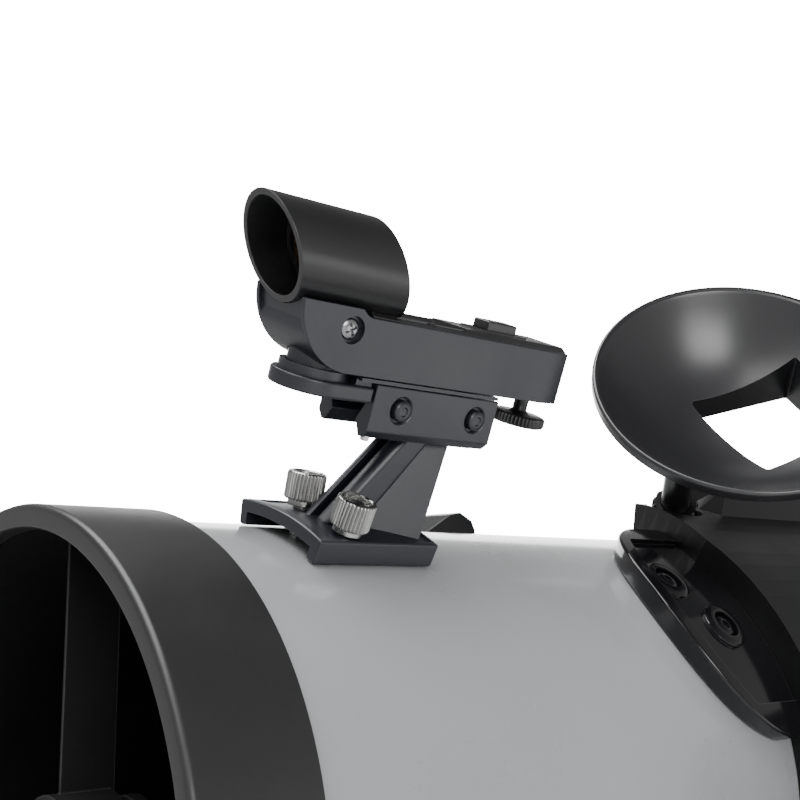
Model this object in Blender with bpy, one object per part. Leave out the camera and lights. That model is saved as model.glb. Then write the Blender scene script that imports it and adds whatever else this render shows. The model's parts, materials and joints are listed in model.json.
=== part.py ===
"""Newtonian reflector telescope with a red-dot finder on a single-arm tabletop stand.

The tube lies along X with its open front towards -X.  Lengths below are in millimetres.
"""
import math

import bmesh
import bpy
from mathutils import Matrix, Vector

MM = 0.001

# Main sizes
TUBE_RADIUS = 77.0
TUBE_INSIDE = 75.6
TUBE_START = 5.3
TUBE_END = 548.0
RING_RADIUS = 79.7
RING_LENGTH = 30.8
RING_MOUTH = 74.0
AXIS_HEIGHT = 352.0
ALTITUDE_X = 280.0
GAP = 0.3

# Angles round the tube, from the top, positive away from the arm
FINDER_CLOCK = -22.1
FOCUSER_CLOCK = 68.0
FOCUSER_X = 105.0

# Mirrors
MIRROR_RADIUS = 65.0
MIRROR_BACK = 532.7
MIRROR_THICK = 18.0
MIRROR_SAG = 2.1
SECONDARY_HALF = 14.0

# Finder, measured from the tube axis along the finder's own upright
FOOT_START = 54.5
FOOT_END = 92.8
FOOT_TOP = 83.8
FOOT_NEAR_ANGLE = -10.0
FOOT_FAR_ANGLE = 14.5
NUT_RADIUS = 5.1
NUT_X = 65.5
NUT_HALF_SPREAD = 9.8
RAIL_START = 63.2
RAIL_END = 104.6
RAIL_LOW = 109.1
RAIL_HIGH = 120.6
RAIL_HALF = 10.2
SCREW_HEIGHT = 115.0
BODY_START = 36.0
BODY_END = 127.5
BODY_HALF = 10.2
BODY_LOW = 122.0
DECK = 135.4
PIVOT_X = 51.0
WHEEL_X = 123.5
WINDOW_RADIUS = 12.0
WINDOW_BORE = 10.4
WINDOW_AXIS = 146.8
WINDOW_LEAN = 25.0

# Dished holder: centre of the rim, mouth direction and sideways direction
HOLDER_RIM = (214.9, -57.0, 124.6)
HOLDER_MOUTH = (-0.564, -0.566, 0.602)
HOLDER_SIDE = (0.548, -0.783, -0.295)
HOLDER_RADIUS = 48.0
HOLDER_DEPTH = 24.0
HOLDER_WALL = 2.4
STEM_OFFSET = (13.1, 15.4)
STEM_HEIGHT = 60.0
STEM_RADIUS = 5.0
DISH_WINDOW_X = 13.5
DISH_WINDOW_Y = 9.0
DISH_WINDOW_LEFT = 30.0
DISH_WINDOW_RIGHT = 25.5
DISH_WINDOW_SHORT = 23.0

# Cradle and stand
CRADLE_RADIUS = 90.0
CRADLE_END = 345.0
ARM_INSIDE = -98.6
ARM_OUTSIDE = -134.0
BOARD_RADIUS = 150.0
FEET_RING = 118.0
STAND_X = -3.0
STAND_Y = -12.84

# Saddle nose: centre and radius of its round front edge
NOSE_CENTRE_X = 205.0
NOSE_CENTRE_CLOCK = -47.6
NOSE_ROUND = 41.0

ALONG_X = (0.0, 90.0, 0.0)
ALONG_Y = (-90.0, 0.0, 0.0)
ALONG_MINUS_Y = (90.0, 0.0, 0.0)

LOOKS = {
    "tube_silver": ((0.46, 0.48, 0.50), 0.55, 0.28),
    "black_satin": ((0.035, 0.036, 0.040), 0.0, 0.45),
    "black_matt": ((0.020, 0.020, 0.021), 0.0, 0.75),
    "black_gloss": ((0.015, 0.015, 0.017), 0.0, 0.15),
    "charcoal": ((0.055, 0.055, 0.058), 0.0, 0.55),
    "blue_black": ((0.060, 0.064, 0.075), 0.0, 0.50),
    "chrome": ((0.72, 0.72, 0.72), 1.0, 0.15),
    "silver": ((0.62, 0.61, 0.58), 1.0, 0.30),
    "mirror": ((0.90, 0.91, 0.92), 1.0, 0.03),
    "rubber": ((0.018, 0.018, 0.018), 0.0, 0.85),
    "lens": ((0.10, 0.05, 0.03), 0.0, 0.05),
    "board": ((0.030, 0.030, 0.032), 0.0, 0.60),
}

for item in list(bpy.data.objects):
    bpy.data.objects.remove(item, do_unlink=True)


def finish(name, look):
    """One material for one piece."""
    colour, metallic, roughness = LOOKS[look]
    material = bpy.data.materials.new(name + "_finish")
    material.use_nodes = True
    shader = material.node_tree.nodes["Principled BSDF"]
    shader.inputs["Base Color"].default_value = (*colour, 1.0)
    shader.inputs["Metallic"].default_value = metallic
    shader.inputs["Roughness"].default_value = roughness
    return material


def degrees(angles):
    return tuple(math.radians(angle) for angle in angles)


def frame(name, parent, place, turn=(0.0, 0.0, 0.0)):
    """An empty that carries pieces; place in mm, turn in degrees."""
    empty = bpy.data.objects.new(name, None)
    bpy.context.scene.collection.objects.link(empty)
    empty.parent = parent
    empty.location = Vector(place) * MM
    empty.rotation_euler = degrees(turn)
    return empty


def put(name, mesh_data, look, parent, place, turn):
    """Turn a bmesh in millimetres into a named object; look None makes a cutter."""
    bmesh.ops.scale(mesh_data, vec=(MM, MM, MM), verts=mesh_data.verts)
    bmesh.ops.recalc_face_normals(mesh_data, faces=mesh_data.faces)
    for face in mesh_data.faces:
        face.smooth = True
    for edge in mesh_data.edges:
        if edge.calc_face_angle(0.0) > math.radians(32.0):
            edge.smooth = False
    mesh = bpy.data.meshes.new(name)
    mesh_data.to_mesh(mesh)
    mesh_data.free()
    piece = bpy.data.objects.new(name, mesh)
    bpy.context.scene.collection.objects.link(piece)
    piece.parent = parent
    piece.location = Vector(place) * MM
    piece.rotation_euler = degrees(turn)
    if look is None:
        piece.hide_render = True
        piece.display_type = "WIRE"
    else:
        mesh.materials.append(finish(name, look))
    return piece


def turned(name, profile, look, parent, place=(0, 0, 0), turn=(0, 0, 0), steps=24):
    """A piece turned about local Z from (radius, height) points.

    Ends on the axis give a solid; otherwise the points form a closed loop.
    """
    shape = bmesh.new()
    solid = profile[0][0] == 0 and profile[-1][0] == 0
    columns = []
    tips = {}
    for step in range(steps):
        angle = 2.0 * math.pi * step / steps
        column = []
        for index, (radius, height) in enumerate(profile):
            if radius == 0:
                if index not in tips:
                    tips[index] = shape.verts.new((0.0, 0.0, height))
                column.append(tips[index])
            else:
                point = (radius * math.cos(angle), radius * math.sin(angle), height)
                column.append(shape.verts.new(point))
        columns.append(column)
    count = len(profile)
    spans = count - 1 if solid else count
    for step in range(steps):
        here = columns[step]
        there = columns[(step + 1) % steps]
        for index in range(spans):
            after = (index + 1) % count
            corners = [here[index], there[index], there[after], here[after]]
            unique = []
            for corner in corners:
                if corner not in unique:
                    unique.append(corner)
            if len(unique) > 2:
                shape.faces.new(unique)
    return put(name, shape, look, parent, place, turn)


def plate(name, outline, low, high, look, parent, place=(0, 0, 0), turn=(0, 0, 0)):
    """A flat outline in local XY raised from low to high."""
    shape = bmesh.new()
    under = [shape.verts.new((x, y, low)) for x, y in outline]
    over = [shape.verts.new((x, y, high)) for x, y in outline]
    shape.faces.new(list(reversed(under)))
    shape.faces.new(over)
    count = len(outline)
    for index in range(count):
        after = (index + 1) % count
        shape.faces.new([under[index], under[after], over[after], over[index]])
    return put(name, shape, look, parent, place, turn)


def side_plate(name, outline, near, far, look, parent, place=(0, 0, 0)):
    """An outline of (x, z) points standing upright between two y values."""
    return plate(name, outline, -far, -near, look, parent, place, (90.0, 0.0, 0.0))


def end_plate(name, outline, start, end, look, parent, place=(0, 0, 0)):
    """An outline of (y, z) points running along x."""
    shape = bmesh.new()
    first = [shape.verts.new((start, y, z)) for y, z in outline]
    last = [shape.verts.new((end, y, z)) for y, z in outline]
    shape.faces.new(first)
    shape.faces.new(list(reversed(last)))
    count = len(outline)
    for index in range(count):
        after = (index + 1) % count
        shape.faces.new([first[index], last[index], last[after], first[after]])
    return put(name, shape, look, parent, place, (0, 0, 0))


def loft(name, base, top, look, parent):
    """A solid between two outlines with the same number of corners."""
    shape = bmesh.new()
    under = [shape.verts.new(corner) for corner in base]
    over = [shape.verts.new(corner) for corner in top]
    shape.faces.new(list(reversed(under)))
    shape.faces.new(over)
    for index in range(len(base)):
        after = (index + 1) % len(base)
        shape.faces.new([under[index], under[after], over[after], over[index]])
    return put(name, shape, look, parent, (0, 0, 0), (0, 0, 0))


def block(name, low, high, look, parent, place=(0, 0, 0), turn=(0, 0, 0)):
    """A box between two corners."""
    outline = [(low[0], low[1]), (high[0], low[1]), (high[0], high[1]), (low[0], high[1])]
    return plate(name, outline, low[2], high[2], look, parent, place, turn)


def rod(name, radius, low, high, look, parent, place=(0, 0, 0), turn=(0, 0, 0), steps=20):
    """A plain solid cylinder along local Z."""
    profile = [(0, low), (radius, low), (radius, high), (0, high)]
    return turned(name, profile, look, parent, place, turn, steps)


def wrap(name, front, back, inside, outside, first, last, steps, look, parent):
    """A band that follows the tube; front and back are functions of the clock angle."""
    shape = bmesh.new()
    rows = []
    for step in range(steps + 1):
        clock = first + (last - first) * step / steps
        across = math.sin(math.radians(clock))
        up = math.cos(math.radians(clock))
        row = []
        for x, radius in (
            (front(clock), inside),
            (back(clock), inside),
            (back(clock), outside),
            (front(clock), outside),
        ):
            row.append(shape.verts.new((x, radius * across, radius * up)))
        rows.append(row)
    for step in range(steps):
        for index in range(4):
            after = (index + 1) % 4
            here = rows[step]
            there = rows[step + 1]
            shape.faces.new([here[index], here[after], there[after], there[index]])
    shape.faces.new(rows[0])
    shape.faces.new(list(reversed(rows[-1])))
    return put(name, shape, look, parent, (0, 0, 0), (0, 0, 0))


def combine(piece, other, operation):
    """Boolean one piece with another."""
    change = piece.modifiers.new(operation.lower() + "_" + other.name, "BOOLEAN")
    change.operation = operation
    change.solver = "EXACT"
    change.object = other


def cut(piece, cutter):
    combine(piece, cutter, "DIFFERENCE")


def join(piece, other):
    combine(piece, other, "UNION")


def knurled(radius, teeth, depth):
    """Outline of a knurled or fluted edge."""
    outline = []
    for index in range(teeth * 2):
        angle = math.pi * index / teeth
        reach = radius if index % 2 == 0 else radius - depth
        outline.append((reach * math.cos(angle), reach * math.sin(angle)))
    return outline


def turned_about(clock):
    """Rotation that points local Z outward at a clock angle."""
    return (-clock, 0.0, 0.0)


def on_tube(clock, radius):
    angle = math.radians(clock)
    return (radius * math.sin(angle), radius * math.cos(angle))


# Frames -------------------------------------------------------------------------------
stand_frame = frame("stand_frame", None, (STAND_X, STAND_Y, 0))
azimuth_axis = frame("azimuth_axis", stand_frame, (0, 0, 0))
altitude_axis = frame("altitude_axis", azimuth_axis, (0, 0, AXIS_HEIGHT))
tube_frame = frame("tube_frame", altitude_axis, (-ALTITUDE_X, 0, 0))
finder_frame = frame("finder_frame", tube_frame, (0, 0, 0), turned_about(FINDER_CLOCK))
focuser_frame = frame("focuser_frame", tube_frame, (FOCUSER_X, 0, 0), turned_about(FOCUSER_CLOCK))

# Tube and rings -----------------------------------------------------------------------
main_tube = turned(
    "main_tube",
    [(TUBE_INSIDE, TUBE_START), (TUBE_RADIUS, TUBE_START), (TUBE_RADIUS, TUBE_END),
     (TUBE_INSIDE, TUBE_END)],
    "tube_silver", tube_frame, turn=ALONG_X, steps=60,
)
focuser_opening = rod("focuser_opening", 26.0, 40.0, 100.0, None, focuser_frame, steps=30)
cut(main_tube, focuser_opening)

turned(
    "front_ring",
    [(RING_MOUTH, 0.0), (RING_RADIUS - 1.3, 0.0), (RING_RADIUS, 1.3), (RING_RADIUS, RING_LENGTH),
     (TUBE_RADIUS + GAP, RING_LENGTH), (TUBE_RADIUS + GAP, 5.0), (RING_MOUTH, 5.0)],
    "charcoal", tube_frame, turn=ALONG_X, steps=60,
)
rear_cell = turned(
    "rear_end_cell",
    [(TUBE_RADIUS + GAP, 524.0), (RING_RADIUS, 524.0), (RING_RADIUS, 552.8),
     (RING_RADIUS - 1.2, 554.0), (30.0, 554.0), (30.0, 550.3), (TUBE_RADIUS + GAP, 550.3)],
    "charcoal", tube_frame, turn=ALONG_X, steps=60,
)

# Primary mirror, its cell, clips and rear knobs ----------------------------------------
mirror_front = MIRROR_BACK - MIRROR_THICK
turned(
    "primary_mirror",
    [(0, mirror_front + MIRROR_SAG), (22.0, mirror_front + MIRROR_SAG * 0.885),
     (44.0, mirror_front + MIRROR_SAG * 0.54), (MIRROR_RADIUS, mirror_front),
     (MIRROR_RADIUS, MIRROR_BACK), (0, MIRROR_BACK)],
    "mirror", tube_frame, turn=ALONG_X, steps=40,
)
turned(
    "primary_mirror_cell",
    [(15.0, MIRROR_BACK + GAP), (72.0, MIRROR_BACK + GAP), (72.0, 541.0), (15.0, 541.0)],
    "black_satin", tube_frame, turn=ALONG_X, steps=40,
)
for number in range(3):
    clock = 60.0 + 120.0 * number
    cell_frame = frame("clip_frame_%d" % (number + 1), tube_frame, (0, 0, 0), turned_about(clock))
    side_plate(
        "mirror_clip_%d" % (number + 1),
        [(512.2, 60.5), (512.2, 71.0), (MIRROR_BACK, 71.0), (MIRROR_BACK, MIRROR_RADIUS + GAP),
         (mirror_front - GAP, MIRROR_RADIUS + GAP), (mirror_front - GAP, 60.5)],
        -5.0, 5.0, "black_satin", cell_frame,
    )
    across, up = on_tube(22.0 + 120.0 * number, 52.0)
    hole = rod("knob_hole_%d" % (number + 1), 2.7, 545.0, 560.0, None, tube_frame,
               (0, across, up), ALONG_X, 16)
    cut(rear_cell, hole)
    turned(
        "collimation_knob_%d" % (number + 1),
        [(0, 541.3), (2.2, 541.3), (2.2, 554.5), (8.0, 554.5), (9.0, 555.5), (9.0, 565.0),
         (8.0, 566.0), (0, 566.0)],
        "black_satin", tube_frame, (0, across, up), ALONG_X, 20,
    )

# Spider and secondary ------------------------------------------------------------------
spider = rod("spider", 13.0, 10.0, 26.0, "black_matt", tube_frame, turn=ALONG_X, steps=32)
upright_vane = block("upright_vane", (13.0, -0.45, -75.3), (27.0, 0.45, 75.3), None, tube_frame)
level_vane = block("level_vane", (13.0, -75.3, -0.45), (27.0, 75.3, 0.45), None, tube_frame)
bolt_hole = rod("bolt_hole", 3.2, 0.0, 40.0, None, tube_frame, turn=ALONG_X, steps=16)
join(spider, upright_vane)
join(spider, level_vane)
cut(spider, bolt_hole)
turned(
    "secondary_bolt",
    [(0, 5.6), (4.6, 5.6), (5.2, 6.4), (5.2, 9.7), (2.8, 9.7), (2.8, 29.7), (0, 29.7)],
    "silver", tube_frame, turn=ALONG_X, steps=16,
)
for number in range(3):
    across, up = on_tube(60.0 + 120.0 * number, 8.4)
    screw_hole = rod("secondary_screw_hole_%d" % (number + 1), 1.9, 0.0, 40.0, None, tube_frame,
                     (0, across, up), ALONG_X, 12)
    cut(spider, screw_hole)
    turned(
        "secondary_screw_%d" % (number + 1),
        [(0, 6.8), (2.6, 6.8), (2.6, 9.7), (1.5, 9.7), (1.5, 29.7), (0, 29.7)],
        "silver", tube_frame, (0, across, up), ALONG_X, 12,
    )
holder = turned(
    "secondary_holder",
    [(0, 30.0), (11.0, 30.0), (11.0, 34.0), (6.5, 38.0), (6.5, 70.0), (13.0, 76.0),
     (13.0, 125.0), (0, 125.0)],
    "black_matt", tube_frame, turn=ALONG_X, steps=24,
)
slant = block("secondary_slant", (-60.0, -40.0, -4.6), (60.0, 40.0, 60.0), None, focuser_frame,
              turn=(0.0, 45.0, 0.0))
cut(holder, slant)
ellipse = []
for step in range(28):
    angle = 2.0 * math.pi * step / 28
    ellipse.append((SECONDARY_HALF * 1.414 * math.cos(angle), SECONDARY_HALF * math.sin(angle)))
plate("secondary_mirror", ellipse, -4.2, 0.0, "mirror", focuser_frame, turn=(0.0, 45.0, 0.0))

# Focuser --------------------------------------------------------------------------------
base_outline = [
    (30, 18), (14, 34), (-14, 34), (-30, 18),
    (-30, -18), (-14, -34), (14, -34), (30, -18),
]
focuser = plate("focuser_base", base_outline, 62.0, 90.0, "black_satin", focuser_frame)
barrel = rod("focuser_barrel_form", 27.0, 76.0, 118.0, None, focuser_frame, steps=30)
housing = block("pinion_housing_form", (16.0, -15.0, 86.0), (38.0, 15.0, 116.0), None, focuser_frame)
tube_form = rod("tube_form", TUBE_RADIUS + GAP, -60.0, 60.0, None, focuser_frame,
                turn=ALONG_X, steps=60)
bore = rod("drawtube_bore", 21.4, 40.0, 130.0, None, focuser_frame, steps=30)
rack_slot = block("rack_slot", (18.0, -4.2, 40.0), (25.2, 4.2, 130.0), None, focuser_frame)
pinion_room = rod("pinion_room", 5.5, -6.0, 6.0, None, focuser_frame, (29.5, 0, 104.0), ALONG_Y, 20)
shaft_hole = rod("shaft_hole", 2.6, -30.0, 30.0, None, focuser_frame, (29.5, 0, 104.0), ALONG_Y, 14)
join(focuser, barrel)
join(focuser, housing)
cut(focuser, tube_form)
cut(focuser, bore)
cut(focuser, rack_slot)
cut(focuser, pinion_room)
cut(focuser, shaft_hole)
drawtube = turned(
    "focuser_drawtube",
    [(18.6, 62.0), (21.0, 62.0), (21.0, 130.0), (24.0, 131.0), (24.0, 136.0), (18.6, 136.0)],
    "chrome", focuser_frame, steps=30,
)
rack = block("rack_form", (19.8, -3.8, 64.0), (24.5, 3.8, 129.0), None, focuser_frame)
join(drawtube, rack)
turned(
    "pinion_shaft",
    [(0, -44.0), (2.2, -44.0), (2.2, -5.5), (4.6, -5.5), (4.6, 5.5), (2.2, 5.5), (2.2, 44.0),
     (0, 44.0)],
    "silver", focuser_frame, (29.5, 0, 104.0), ALONG_Y, 20,
)
for side, way in (("upper", ALONG_MINUS_Y), ("lower", ALONG_Y)):
    turned(
        "focus_knob_" + side,
        [(0, 44.3), (2.5, 44.3), (2.5, 27.0), (9.0, 27.0), (9.0, 30.0), (15.0, 31.0), (15.0, 43.0),
         (13.6, 45.5), (0, 46.5)],
        "rubber", focuser_frame, (29.5, 0, 104.0), way, 20,
    )
adapter = turned(
    "eyepiece_adapter",
    [(16.2, 136.3), (22.0, 136.3), (22.0, 150.0), (20.5, 151.5), (16.2, 151.5)],
    "black_satin", focuser_frame, steps=24,
)
screw_bore = rod("adapter_screw_bore", 1.9, 0.0, 40.0, None, focuser_frame,
                 (0, 0, 144.0), ALONG_MINUS_Y, 12)
cut(adapter, screw_bore)
turned(
    "adapter_thumb_screw",
    [(0, 16.3), (1.6, 16.3), (1.6, 22.6), (4.2, 23.2), (4.2, 31.0), (3.4, 31.8), (0, 31.8)],
    "silver", focuser_frame, (0, 0, 144.0), ALONG_MINUS_Y, 16,
)
turned(
    "eyepiece_barrel",
    [(14.2, 128.0), (15.87, 128.0), (15.87, 156.0), (14.2, 156.0)],
    "chrome", focuser_frame, steps=24,
)
turned(
    "eyepiece_body",
    [(11.0, 156.3), (17.0, 156.3), (19.0, 158.0), (19.0, 176.0), (16.0, 179.0), (11.0, 179.0)],
    "black_satin", focuser_frame, steps=24,
)
turned(
    "eyepiece_eyecup",
    [(12.6, 179.3), (16.8, 179.3), (18.4, 189.0), (17.4, 190.0), (14.6, 190.0), (12.6, 184.0)],
    "rubber", focuser_frame, steps=24,
)
turned(
    "eye_lens",
    [(0, 171.0), (10.7, 171.0), (10.7, 174.0), (6.0, 175.6), (0, 176.2)],
    "lens", focuser_frame, steps=24,
)

# Accessory shoe on the far shoulder -------------------------------------------------------
shoe = side_plate(
    "accessory_shoe",
    [(146.0, 72.0), (146.0, 78.0), (157.0, 84.2), (162.0, 85.2), (167.2, 82.6), (168.7, 79.6),
     (168.7, 72.0)],
    18.0, 34.0, "black_satin", tube_frame,
)
shoe_form = rod("shoe_form", TUBE_RADIUS + GAP, 100.0, 220.0, None, tube_frame, turn=ALONG_X, steps=60)
cut(shoe, shoe_form)

# Finder bracket ---------------------------------------------------------------------------
bracket = wrap(
    "finder_bracket", lambda clock: FOOT_START, lambda clock: FOOT_END,
    TUBE_RADIUS + GAP, FOOT_TOP, FOOT_NEAR_ANGLE, FOOT_FAR_ANGLE, 10, "blue_black", finder_frame,
)
foot_hollow = wrap(
    "foot_hollow_form", lambda clock: FOOT_START - 4.0, lambda clock: FOOT_END - 4.0,
    TUBE_RADIUS - 2.0, FOOT_TOP - 3.2, FOOT_NEAR_ANGLE + 2.2, FOOT_FAR_ANGLE - 2.2, 8, None,
    finder_frame,
)
cut(bracket, foot_hollow)
post = side_plate(
    "post_form",
    [(61.8, 82.4), (74.0, 82.4), (92.5, 108.5), (81.8, 108.5)],
    -4.4, 1.1, None, finder_frame,
)
post_back = side_plate(
    "post_back_form",
    [(67.5, 82.4), (74.0, 82.4), (92.5, 108.5), (87.0, 108.5)],
    0.9, 2.9, None, finder_frame,
)
strut = side_plate(
    "strut_form",
    [(61.8, 82.4), (74.0, 82.4), (92.5, 108.5), (81.8, 108.5)],
    2.7, 4.4, None, finder_frame,
)
tongue = end_plate(
    "tongue_form",
    [(-6.4, 106.6), (6.4, 106.6), (4.2, 110.9), (6.5, 115.0), (-6.5, 115.0), (-4.2, 110.9)],
    74.0, 102.5, None, finder_frame,
)
for form in (post, post_back, strut, tongue):
    join(bracket, form)
for side_sign in (-1, 1):
    web = loft(
        "web_form",
        [(72.0, 1.4 * side_sign, 82.3), (88.8, 9.1 * side_sign, 82.3), (88.8, 10.9 * side_sign, 82.3),
         (72.0, 3.0 * side_sign, 82.3)],
        [(88.5, 2.0 * side_sign, 107.3), (95.0, 4.4 * side_sign, 107.3),
         (95.0, 6.0 * side_sign, 107.3), (88.5, 3.6 * side_sign, 107.3)],
        None, finder_frame,
    )
    join(bracket, web)
for number, across in ((1, -NUT_HALF_SPREAD), (2, NUT_HALF_SPREAD)):
    clock = math.degrees(math.atan2(across, FOOT_TOP))
    stud_frame = frame("stud_frame_%d" % number, finder_frame, (NUT_X, 0, 0), turned_about(clock))
    stud_hole = rod("stud_hole_%d" % number, 2.5, 70.0, 98.0, None, stud_frame, steps=14)
    cut(bracket, stud_hole)
    rod("finder_stud_%d" % number, 2.1, TUBE_RADIUS + GAP, 92.2, "silver", stud_frame, steps=14)
    nut = plate("finder_thumb_nut_%d" % number, knurled(NUT_RADIUS, 24, 0.4), FOOT_TOP + 1.8, 92.9,
                "silver", stud_frame)
    nut_bore = rod("nut_bore_%d" % number, 2.5, 70.0, 98.0, None, stud_frame, steps=14)
    spacer = rod("nut_collar_form_%d" % number, 3.9, FOOT_TOP + GAP, FOOT_TOP + 3.0, None,
                 stud_frame, steps=16)
    join(nut, spacer)
    cut(nut, nut_bore)

# Dovetail clamp block ----------------------------------------------------------------------
clamp = end_plate(
    "finder_clamp_block",
    [(-RAIL_HALF, RAIL_LOW), (-8.4, RAIL_LOW - 1.9), (-7.0, RAIL_LOW - 1.9), (-4.8, 110.9),
     (-7.2, 115.6), (7.2, 115.6), (4.8, 110.9), (7.0, RAIL_LOW - 1.9),
     (8.4, RAIL_LOW - 1.9), (RAIL_HALF, RAIL_LOW), (RAIL_HALF, RAIL_HIGH),
     (-RAIL_HALF, RAIL_HIGH)],
    RAIL_START, RAIL_END, "blue_black", finder_frame,
)
for number, x in ((1, 72.4), (2, 97.6)):
    recess = rod("clamp_recess_%d" % number, 3.4, RAIL_HALF - 1.2, RAIL_HALF + 4.0, None,
                 finder_frame, (x, 0, SCREW_HEIGHT), ALONG_MINUS_Y, 20)
    cut(clamp, recess)
    turned(
        "finder_clamp_screw_%d" % number,
        [(0, RAIL_HALF - 0.9), (2.7, RAIL_HALF - 0.9), (2.7, RAIL_HALF + 0.7), (2.2, RAIL_HALF + 1.2),
         (0, RAIL_HALF + 1.2)],
        "black_gloss", finder_frame, (x, 0, SCREW_HEIGHT), ALONG_MINUS_Y, 20,
    )

# Azimuth plate and altitude wheel --------------------------------------------------------------
nose = []
for step in range(13):
    angle = math.radians(90.0 + 180.0 * step / 12)
    nose.append((PIVOT_X + 10.2 * math.cos(angle), 10.2 * math.sin(angle)))
azimuth_plate = plate("finder_azimuth_plate", nose + [(104.0, -10.2), (104.0, 10.2)],
                      RAIL_HIGH + GAP, RAIL_HIGH + 1.1, "blue_black", finder_frame)
pivot = rod("pivot_form", 7.0, RAIL_HIGH + 0.6, 125.6, None, finder_frame, (PIVOT_X, 0, 0), steps=24)
lower_nose = plate("lower_nose_form", nose + [(62.6, -10.2), (62.6, 10.2)],
                   RAIL_HIGH - 3.4, RAIL_HIGH + 0.7, None, finder_frame)
join(azimuth_plate, lower_nose)
join(azimuth_plate, pivot)

wheel = plate("finder_altitude_wheel", knurled(7.7, 26, 0.4), 112.7, 115.9, "black_satin",
              finder_frame, (WHEEL_X, 0, 0))
wheel_stem = rod("wheel_stem_form", 2.0, 115.0, 121.4, None, finder_frame, (WHEEL_X, 0, 0), steps=14)
join(wheel, wheel_stem)

# Finder body -----------------------------------------------------------------------------------
side_view = [
    (BODY_START, 137.7), (BODY_START + 2.8, 131.6), (BODY_START + 6.4, 127.0),
    (BODY_START + 11.0, 123.6), (BODY_START + 17.0, BODY_LOW), (BODY_END - 1.2, BODY_LOW),
    (BODY_END, 123.2), (BODY_END, DECK + 0.6), (BODY_END - 0.8, DECK + 1.4),
    (BODY_START + 29.0, DECK + 1.4), (BODY_START + 29.0, 137.7),
]
finder_body = side_plate("finder_body", side_view, -BODY_HALF, BODY_HALF, "blue_black", finder_frame)
room = block("body_room", (62.0, -BODY_HALF + 2.0, 126.0),
             (BODY_END - 3.0, BODY_HALF - 2.0, 150.0), None, finder_frame)
step_down = block("body_step", (54.0, -20.0, DECK), (140.0, 20.0, 150.0), None, finder_frame)
near_taper = plate("near_taper_form", [(115.5, -BODY_HALF - 1.0), (135.0, -BODY_HALF + 3.5),
                                       (135.0, -20.0), (115.5, -20.0)],
                   110.0, 150.0, None, finder_frame)
far_taper = plate("far_taper_form", [(115.5, BODY_HALF + 1.0), (115.5, 20.0), (135.0, 20.0),
                                     (135.0, BODY_HALF - 3.5)],
                  110.0, 150.0, None, finder_frame)
window_seat = rod("window_seat", WINDOW_RADIUS + GAP, -60.0, 60.0, None, finder_frame,
                  (50.0, 0, WINDOW_AXIS), ALONG_X, 36)
pivot_room = rod("pivot_room", 7.4, 110.0, 126.0, None, finder_frame, (PIVOT_X, 0, 0), steps=24)
screw_room = rod("side_screw_room", 3.4, BODY_HALF - 1.8, BODY_HALF + 3.0, None, finder_frame,
                 (51.7, 0, 132.4), ALONG_MINUS_Y, 20)
for form in (step_down, room, near_taper, far_taper, window_seat, pivot_room, screw_room):
    cut(finder_body, form)
turned(
    "finder_side_screw",
    [(0, BODY_HALF - 1.5), (2.5, BODY_HALF - 1.5), (2.5, BODY_HALF - 0.7), (1.4, BODY_HALF - 0.3),
     (0, BODY_HALF - 0.2)],
    "chrome", finder_frame, (51.7, 0, 132.4), ALONG_MINUS_Y, 18,
)
cover = end_plate(
    "finder_top_cover",
    [(-8.6, DECK + GAP), (-8.6, DECK + 0.8), (-6.6, DECK + 2.0), (6.6, DECK + 2.0),
     (8.6, DECK + 0.8), (8.6, DECK + GAP)],
    58.0, BODY_END - 0.8, "black_satin", finder_frame,
)
cover_seat = rod("cover_seat", WINDOW_RADIUS + GAP, -40.0, 60.0, None, finder_frame,
                 (50.0, 0, WINDOW_AXIS), ALONG_X, 36)
cut(cover, cover_seat)
switch_slot = block("switch_slot", (98.6, -3.3, 130.0), (113.4, 3.3, 150.0), None, finder_frame)
cut(cover, switch_slot)
block("finder_power_switch", (100.6, -3.0, DECK + 0.4), (111.4, 3.0, 140.2), "black_satin",
      finder_frame)

window = rod("finder_window_tube", WINDOW_RADIUS, 0.0, 60.0, "black_satin", finder_frame,
             (18.0, 0, WINDOW_AXIS), ALONG_X, 44)
window_bore = rod("window_bore", WINDOW_BORE, -10.0, 80.0, None, finder_frame,
                  (18.0, 0, WINDOW_AXIS), ALONG_X, 44)
front_trim = block("window_front_trim", (-40.0, -30.0, -60.0), (0.0, 30.0, 60.0), None, finder_frame,
                   (31.2, 0, WINDOW_AXIS), (0.0, -WINDOW_LEAN, 0.0))
rear_trim = block("window_rear_trim", (0.0, -30.0, -60.0), (40.0, 30.0, 60.0), None, finder_frame,
                  (63.0, 0, WINDOW_AXIS), (0.0, -WINDOW_LEAN, 0.0))
for form in (window_bore, front_trim, rear_trim):
    cut(window, form)
lens = rod("finder_window_lens", WINDOW_BORE - GAP, 0.0, 40.0, "lens", finder_frame,
           (32.0, 0, WINDOW_AXIS), ALONG_X, 36)
lens_front = block("lens_front_trim", (-40.0, -30.0, -60.0), (0.0, 30.0, 60.0), None, finder_frame,
                   (44.0, 0, WINDOW_AXIS), (0.0, -WINDOW_LEAN, 0.0))
lens_rear = block("lens_rear_trim", (0.0, -30.0, -60.0), (60.0, 30.0, 60.0), None, finder_frame,
                  (46.0, 0, WINDOW_AXIS), (0.0, -WINDOW_LEAN, 0.0))
cut(lens, lens_front)
cut(lens, lens_rear)

# Saddle nose and cradle ----------------------------------------------------------------------------
def cradle_front(clock):
    """Front edge of the cradle; it slants back towards the top."""
    if clock > -33.0:
        return 203.0 + (clock + 33.0) * 0.5
    if clock < -120.0:
        return 203.0 + (-120.0 - clock) * 1.0
    return 203.0


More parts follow.
